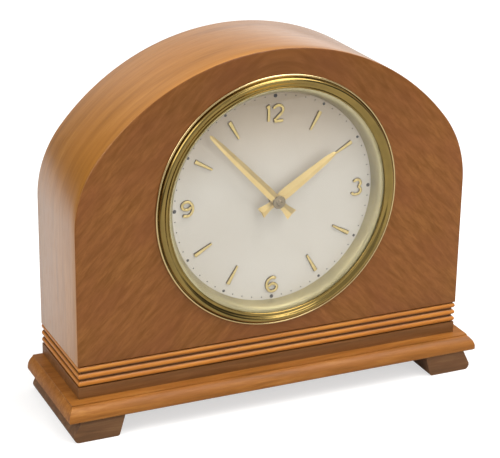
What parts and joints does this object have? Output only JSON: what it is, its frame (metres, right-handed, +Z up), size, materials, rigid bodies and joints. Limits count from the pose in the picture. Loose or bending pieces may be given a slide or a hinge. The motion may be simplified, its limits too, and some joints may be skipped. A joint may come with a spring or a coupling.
{
  "type": "mantel clock",
  "caption": "Round-top wooden mantel clock with a reeded base on runner feet, domed glass over a silvered dial, and a key-wound movement behind a hinged rear door.",
  "frame": {"origin": "middle of the footprint, on the surface that the feet stand on", "axes": "+X to the right as the dial is read, +Y from the dial to the rear door, +Z up"},
  "size_m": [0.215, 0.064, 0.1754],
  "materials": {
    "walnut_front": "satin",
    "walnut_wrap": "satin",
    "reed_wood": "satin",
    "plinth_wood": "satin",
    "band_wood": "satin",
    "foot_wood": "satin",
    "block_wood": "sawn",
    "back_wood": "matt stain",
    "dial_silvered": "silvered and lacquered",
    "brass_case": "polished",
    "brass_movement": "fine ground",
    "steel_arbors": "polished",
    "spring_steel": "blued",
    "bracket_steel": "zinc plated",
    "clear_glass": "polished"
  },
  "bodies": {
    "case": {"back_board": "back_wood", "back_plate": "brass_movement", "balance_cock": "brass_movement", "base_board": "band_wood", "bezel": "brass_case", "case_wrap": "walnut_wrap", "click_screw": "steel_arbors", "click_spring": "spring_steel", "corner_blocks": "block_wood", "dial": "dial_silvered", "door_catch": "bracket_steel", "front_panel": "walnut_front", "front_plate": "brass_movement", "glass": "clear_glass", "hairspring": "spring_steel", "hinge_case_halves": "brass_case", "hour_batons": "brass_case", "left_foot": "foot_wood", "movement_brackets": "bracket_steel", "pillars_and_post": "brass_movement", "plinth": "plinth_wood", "rear_rail": "band_wood", "reed_front": "reed_wood", "reed_left": "reed_wood", "reed_right": "reed_wood", "right_foot": "foot_wood", "sight_ring": "brass_case"},
    "hand_drive": {"centre_arbor": "steel_arbors", "cannon_pinion": "brass_movement", "minute_hand": "brass_case", "hand_nut": "brass_case", "set_knob": "brass_movement"},
    "minute_work": {"minute_wheel": "brass_movement"},
    "hour_work": {"hour_wheel": "brass_movement", "hour_hand": "brass_case"},
    "fourth": {"fourth_wheel": "brass_movement", "fourth_arbor": "steel_arbors"},
    "escapement_wheel": {"escape_wheel": "brass_movement", "escape_arbor": "steel_arbors"},
    "third": {"third_wheel": "brass_movement", "third_arbor": "steel_arbors"},
    "centre": {"centre_wheel": "brass_movement", "centre_pinion": "steel_arbors"},
    "intermediate": {"intermediate_wheel": "brass_movement", "intermediate_arbor": "steel_arbors"},
    "going_barrel": {"barrel": "brass_movement", "barrel_cover": "brass_movement", "mainspring": "spring_steel"},
    "winding": {"barrel_arbor": "steel_arbors", "ratchet_wheel": "steel_arbors", "winding_key": "brass_movement"},
    "click_pawl": {"click": "steel_arbors"},
    "lever": {"pallet_fork": "steel_arbors", "pallet_arbor": "steel_arbors"},
    "balance": {"balance_wheel": "brass_movement", "balance_staff": "steel_arbors"},
    "regulator_index": {"regulator": "steel_arbors"},
    "door": {"rear_door": "back_wood", "hinge_door_halves": "brass_case", "door_knob": "brass_case"}
  },
  "joints": [
    {"name": "set_hands", "type": "hinge", "parent": "case", "child": "hand_drive", "pos_m": [0, 0, 0.1018], "axis": [0, 1, 0], "continuous": true},
    {"name": "minute_wheel_turn", "type": "hinge", "parent": "case", "child": "minute_work", "pos_m": [0.0036, 0, 0.09556], "axis": [0, 1, 0], "continuous": true},
    {"name": "hour_hand_turn", "type": "hinge", "parent": "case", "child": "hour_work", "pos_m": [0, 0, 0.1018], "axis": [0, 1, 0], "continuous": true},
    {"name": "fourth_wheel_turn", "type": "hinge", "parent": "case", "child": "fourth", "pos_m": [0.01065, 0, 0.11797], "axis": [0, 1, 0], "continuous": true},
    {"name": "escape_wheel_turn", "type": "hinge", "parent": "case", "child": "escapement_wheel", "pos_m": [-0.0003, 0, 0.1209], "axis": [0, 1, 0], "continuous": true},
    {"name": "third_wheel_turn", "type": "hinge", "parent": "case", "child": "third", "pos_m": [0.01269, 0, 0.10642], "axis": [0, 1, 0], "continuous": true},
    {"name": "centre_wheel_turn", "type": "hinge", "parent": "case", "child": "centre", "pos_m": [0, 0, 0.1018], "axis": [0, 1, 0], "continuous": true},
    {"name": "intermediate_wheel_turn", "type": "hinge", "parent": "case", "child": "intermediate", "pos_m": [-0.01219, 0, 0.09327], "axis": [0, 1, 0], "continuous": true},
    {"name": "barrel_turn", "type": "hinge", "parent": "case", "child": "going_barrel", "pos_m": [-0.01152, 0, 0.07088], "axis": [0, 1, 0], "continuous": true},
    {"name": "winding_key_turn", "type": "hinge", "parent": "case", "child": "winding", "pos_m": [-0.01152, 0, 0.07088], "axis": [0, 1, 0], "continuous": true},
    {"name": "click_lift", "type": "hinge", "parent": "case", "child": "click_pawl", "pos_m": [-0.00395, 0, 0.08057], "axis": [0, -1, 0], "range_deg": [0, 8]},
    {"name": "lever_rock", "type": "hinge", "parent": "case", "child": "lever", "pos_m": [-0.00567, 0, 0.124], "axis": [0, 1, 0], "range_deg": [-4.5, 4.5]},
    {"name": "balance_swing", "type": "hinge", "parent": "case", "child": "balance", "pos_m": [-0.01388, 0, 0.1262], "axis": [0, 1, 0], "range_deg": [-250, 250], "stiffness_Nm_per_rad": 0.000012},
    {"name": "regulator_turn", "type": "hinge", "parent": "case", "child": "regulator_index", "pos_m": [-0.01388, 0, 0.1262], "axis": [0, 1, 0], "range_deg": [-20, 20]},
    {"name": "door_swing", "type": "hinge", "parent": "case", "child": "door", "pos_m": [0.0522, 0.0303, 0.09], "axis": [0, 0, -1], "range_deg": [0, 110]}
  ],
  "couplings": [
    {"joint": "minute_wheel_turn", "follows": "set_hands", "ratio": -0.33333},
    {"joint": "hour_hand_turn", "follows": "set_hands", "ratio": 0.083333},
    {"joint": "escape_wheel_turn", "follows": "fourth_wheel_turn", "ratio": -8},
    {"joint": "third_wheel_turn", "follows": "fourth_wheel_turn", "ratio": -0.13333},
    {"joint": "centre_wheel_turn", "follows": "fourth_wheel_turn", "ratio": 0.016667},
    {"joint": "intermediate_wheel_turn", "follows": "fourth_wheel_turn", "ratio": -0.0033333},
    {"joint": "barrel_turn", "follows": "fourth_wheel_turn", "ratio": 0.00055556}
  ]
}
